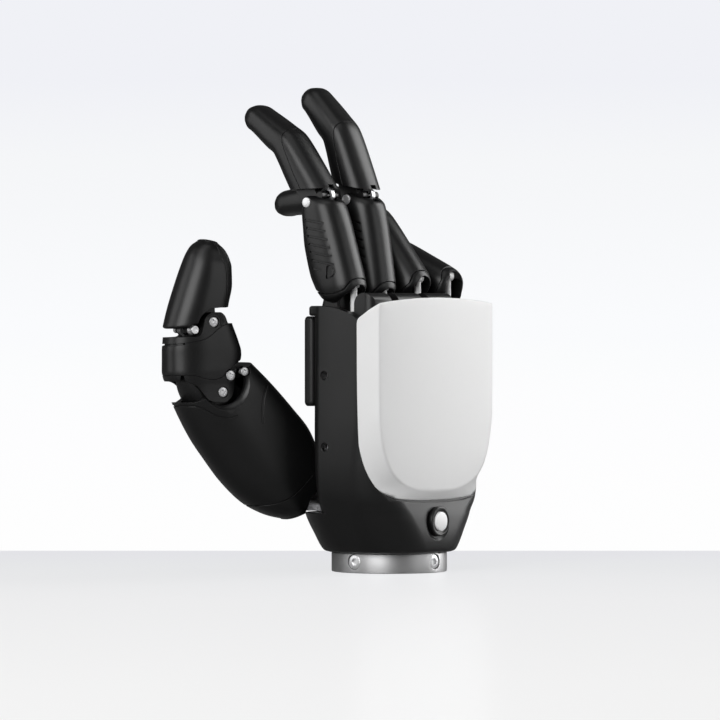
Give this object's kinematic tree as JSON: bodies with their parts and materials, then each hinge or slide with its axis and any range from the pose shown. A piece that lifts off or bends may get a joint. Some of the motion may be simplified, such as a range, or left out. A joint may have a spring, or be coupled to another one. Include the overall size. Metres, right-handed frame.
{
  "type": "dexterous robot hand",
  "caption": "Dexterous robot hand with a black segmented shell, a white back cover, linkage-driven fingers, a two-axis opposable thumb, rubber pads and a round bolted metal wrist flange",
  "frame": {"origin": "centre of the wrist flange's bottom face, where the arm's spigot enters the socket", "axes": "+Z from the wrist to the fingertips, -Y towards the back of the hand with the white cover, +Y towards the palm pad, -X towards the thumb"},
  "size_m": [0.1155, 0.0893, 0.1888],
  "materials": {
    "shell_black": "satin",
    "cover_white": "satin",
    "rod_white": "satin",
    "dark_plastic": "matte",
    "pad_rubber": "matte",
    "flange_metal": "brushed",
    "screw_steel": "satin",
    "frame_metal": "satin",
    "link_metal": "satin"
  },
  "bodies": {
    "root": {"wrist_flange": "flange_metal", "flange_screws": "screw_steel", "wrist_connector": "dark_plastic", "palm_housing": "shell_black", "back_cover": "cover_white", "palm_pad": "pad_rubber", "knuckle_frame": "frame_metal", "knuckle_pins": "screw_steel", "inner_frame": "frame_metal", "finger_actuators": "link_metal", "control_board": "dark_plastic", "thumb_rotation_motor": "link_metal", "thumb_rotation_bush": "frame_metal", "housing_screws": "screw_steel", "button_bezel": "shell_black"},
    "power_button": {"power_button": "cover_white"},
    "index_proximal": {"index_proximal_casing": "shell_black", "index_joint_screws": "screw_steel"},
    "index_distal": {"index_distal_body": "shell_black", "index_distal_cover": "shell_black"},
    "index_push_rod": {"index_push_rod": "rod_white"},
    "index_actuator_rod": {"index_actuator_rod": "link_metal"},
    "index_coupler": {"index_coupler_link": "link_metal"},
    "middle_proximal": {"middle_proximal_casing": "shell_black", "middle_joint_screws": "screw_steel"},
    "middle_distal": {"middle_distal_body": "shell_black", "middle_distal_cover": "shell_black"},
    "middle_push_rod": {"middle_push_rod": "rod_white"},
    "middle_actuator_rod": {"middle_actuator_rod": "link_metal"},
    "middle_coupler": {"middle_coupler_link": "link_metal"},
    "ring_proximal": {"ring_proximal_casing": "shell_black", "ring_joint_screws": "screw_steel"},
    "ring_distal": {"ring_distal_body": "shell_black", "ring_distal_cover": "shell_black"},
    "ring_push_rod": {"ring_push_rod": "rod_white"},
    "ring_actuator_rod": {"ring_actuator_rod": "link_metal"},
    "ring_coupler": {"ring_coupler_link": "link_metal"},
    "little_proximal": {"little_proximal_casing": "shell_black", "little_joint_screws": "screw_steel"},
    "little_distal": {"little_distal_body": "shell_black", "little_distal_cover": "shell_black"},
    "little_push_rod": {"little_push_rod": "rod_white"},
    "little_actuator_rod": {"little_actuator_rod": "link_metal"},
    "little_coupler": {"little_coupler_link": "link_metal"},
    "thumb_yaw": {"thumb_yaw_bracket": "link_metal", "thumb_pitch_pin": "screw_steel"},
    "thumb_base": {"thumb_end_cap": "shell_black", "thumb_base_casing": "shell_black", "thumb_base_frame": "frame_metal", "thumb_actuator": "link_metal", "thumb_link_pin": "screw_steel"},
    "thumb_middle": {"thumb_middle_frame": "frame_metal", "thumb_middle_casing": "shell_black", "thumb_middle_pins": "screw_steel", "thumb_distal_pin": "screw_steel"},
    "thumb_distal": {"thumb_distal_casing": "shell_black", "thumb_tip_pad": "pad_rubber", "thumb_link_shaft": "screw_steel"},
    "thumb_link": {"thumb_link": "link_metal"}
  },
  "joints": [
    {"name": "power_button_press", "type": "slide", "parent": "root", "child": "power_button", "axis": [0, 1, 0], "range_m": [0, 0.001], "stiffness_N_per_m": 600},
    {"name": "index_flexion", "type": "hinge", "parent": "root", "child": "index_proximal", "pos_m": [-0.0294, 0.0004, 0.116], "axis": [-1, 0, 0], "range_deg": [-17, 53]},
    {"name": "index_curl", "type": "hinge", "parent": "index_proximal", "child": "index_distal", "pos_m": [-0.0294, 0.01164, 0.14327], "axis": [-1, 0, 0], "range_deg": [-18.59, 56.89]},
    {"name": "index_rod_hinge", "type": "hinge", "parent": "index_proximal", "child": "index_push_rod", "pos_m": [-0.0294, -0.0055, 0.11223], "axis": [-1, 0, 0], "range_deg": [-53.5, 17.5]},
    {"name": "index_coupler_hinge", "type": "hinge", "parent": "root", "child": "index_coupler", "pos_m": [-0.0294, 0.0054, 0.116], "axis": [-1, 0, 0], "range_deg": [-20.9, 64.1]},
    {"name": "index_rod_slide", "type": "slide", "parent": "root", "child": "index_actuator_rod", "axis": [0, 0, 1], "range_m": [-0.00198, 0.00596]},
    {"name": "middle_flexion", "type": "hinge", "parent": "root", "child": "middle_proximal", "pos_m": [-0.0098, 0.0004, 0.116], "axis": [-1, 0, 0], "range_deg": [-9, 67]},
    {"name": "middle_curl", "type": "hinge", "parent": "middle_proximal", "child": "middle_distal", "pos_m": [-0.0098, 0.00754, 0.14462], "axis": [-1, 0, 0], "range_deg": [-10.08, 71.79]},
    {"name": "middle_rod_hinge", "type": "hinge", "parent": "middle_proximal", "child": "middle_push_rod", "pos_m": [-0.0098, -0.00488, 0.11141], "axis": [-1, 0, 0], "range_deg": [-67.5, 9.5]},
    {"name": "middle_coupler_hinge", "type": "hinge", "parent": "root", "child": "middle_coupler", "pos_m": [-0.0098, 0.0054, 0.116], "axis": [-1, 0, 0], "range_deg": [-11.39, 81.57]},
    {"name": "middle_rod_slide", "type": "slide", "parent": "root", "child": "middle_actuator_rod", "axis": [0, 0, 1], "range_m": [-0.0011, 0.00751]},
    {"name": "ring_flexion", "type": "hinge", "parent": "root", "child": "ring_proximal", "pos_m": [0.0098, 0.0004, 0.116], "axis": [-1, 0, 0], "range_deg": [-30, 38]},
    {"name": "ring_curl", "type": "hinge", "parent": "ring_proximal", "child": "ring_distal", "pos_m": [0.0098, 0.02052, 0.13758], "axis": [-1, 0, 0], "range_deg": [-32.42, 40.93]},
    {"name": "ring_rod_hinge", "type": "hinge", "parent": "ring_proximal", "child": "ring_push_rod", "pos_m": [0.0098, -0.00645, 0.11454], "axis": [-1, 0, 0], "range_deg": [-38.5, 30.5]},
    {"name": "ring_coupler_hinge", "type": "hinge", "parent": "root", "child": "ring_coupler", "pos_m": [0.0098, 0.0054, 0.116], "axis": [-1, 0, 0], "range_deg": [-36.2, 45.72]},
    {"name": "ring_rod_slide", "type": "slide", "parent": "root", "child": "ring_actuator_rod", "axis": [0, 0, 1], "range_m": [-0.00342, 0.0043]},
    {"name": "little_flexion", "type": "hinge", "parent": "root", "child": "little_proximal", "pos_m": [0.0294, 0.0004, 0.1134], "axis": [-1, 0, 0], "range_deg": [-65, 11]},
    {"name": "little_curl", "type": "hinge", "parent": "little_proximal", "child": "little_distal", "pos_m": [0.0294, 0.02812, 0.12349], "axis": [-1, 0, 0], "range_deg": [-69.66, 12.2]},
    {"name": "little_rod_hinge", "type": "hinge", "parent": "little_proximal", "child": "little_push_rod", "pos_m": [0.0294, -0.00636, 0.11521], "axis": [-1, 0, 0], "range_deg": [-11.5, 65.5]},
    {"name": "little_coupler_hinge", "type": "hinge", "parent": "root", "child": "little_coupler", "pos_m": [0.0294, 0.0054, 0.1134], "axis": [-1, 0, 0], "range_deg": [-78.5, 13.7]},
    {"name": "little_rod_slide", "type": "slide", "parent": "root", "child": "little_actuator_rod", "axis": [0, 0, 1], "range_m": [-0.00729, 0.00132]},
    {"name": "thumb_rotation", "type": "hinge", "parent": "root", "child": "thumb_yaw", "pos_m": [-0.017, 0.017, 0.024], "axis": [0, 0, -1], "range_deg": [-8, 51.5]},
    {"name": "thumb_flexion", "type": "hinge", "parent": "thumb_yaw", "child": "thumb_base", "pos_m": [-0.02456, 0.02879, 0.032], "axis": [-0.3827, -0.9239, 0], "range_deg": [-17, 3]},
    {"name": "thumb_middle_bend", "type": "hinge", "parent": "thumb_base", "child": "thumb_middle", "pos_m": [-0.05413, 0.04104, 0.0766], "axis": [-0.3827, -0.9239, 0], "range_deg": [-23.18, 4.5]},
    {"name": "thumb_tip_bend", "type": "hinge", "parent": "thumb_middle", "child": "thumb_distal", "pos_m": [-0.06096, 0.04387, 0.0972], "axis": [-0.3827, -0.9239, 0], "range_deg": [-11.84, 2.5]},
    {"name": "thumb_link_swing", "type": "hinge", "parent": "thumb_base", "child": "thumb_link", "pos_m": [-0.04886, 0.03886, 0.0781], "axis": [-0.3827, -0.9239, 0], "range_deg": [-22.94, 4.46]}
  ],
  "couplings": [
    {"joint": "index_curl", "follows": "index_flexion", "ratio": 1.064},
    {"joint": "index_rod_hinge", "follows": "index_flexion", "ratio": -1},
    {"joint": "index_coupler_hinge", "follows": "index_flexion", "ratio": 1.2},
    {"joint": "index_rod_slide", "follows": "index_flexion", "m_per_rad": 0.00634},
    {"joint": "middle_curl", "follows": "middle_flexion", "ratio": 1.064},
    {"joint": "middle_rod_hinge", "follows": "middle_flexion", "ratio": -1},
    {"joint": "middle_coupler_hinge", "follows": "middle_flexion", "ratio": 1.21},
    {"joint": "middle_rod_slide", "follows": "middle_flexion", "m_per_rad": 0.00634},
    {"joint": "ring_curl", "follows": "ring_flexion", "ratio": 1.064},
    {"joint": "ring_rod_hinge", "follows": "ring_flexion", "ratio": -1},
    {"joint": "ring_coupler_hinge", "follows": "ring_flexion", "ratio": 1.19},
    {"joint": "ring_rod_slide", "follows": "ring_flexion", "m_per_rad": 0.00634},
    {"joint": "little_curl", "follows": "little_flexion", "ratio": 1.064},
    {"joint": "little_rod_hinge", "follows": "little_flexion", "ratio": -1},
    {"joint": "little_coupler_hinge", "follows": "little_flexion", "ratio": 1.2},
    {"joint": "little_rod_slide", "follows": "little_flexion", "m_per_rad": 0.00634},
    {"joint": "thumb_middle_bend", "follows": "thumb_flexion", "ratio": 1.334},
    {"joint": "thumb_tip_bend", "follows": "thumb_flexion", "ratio": 0.667},
    {"joint": "thumb_link_swing", "follows": "thumb_flexion", "ratio": 1.32}
  ]
}
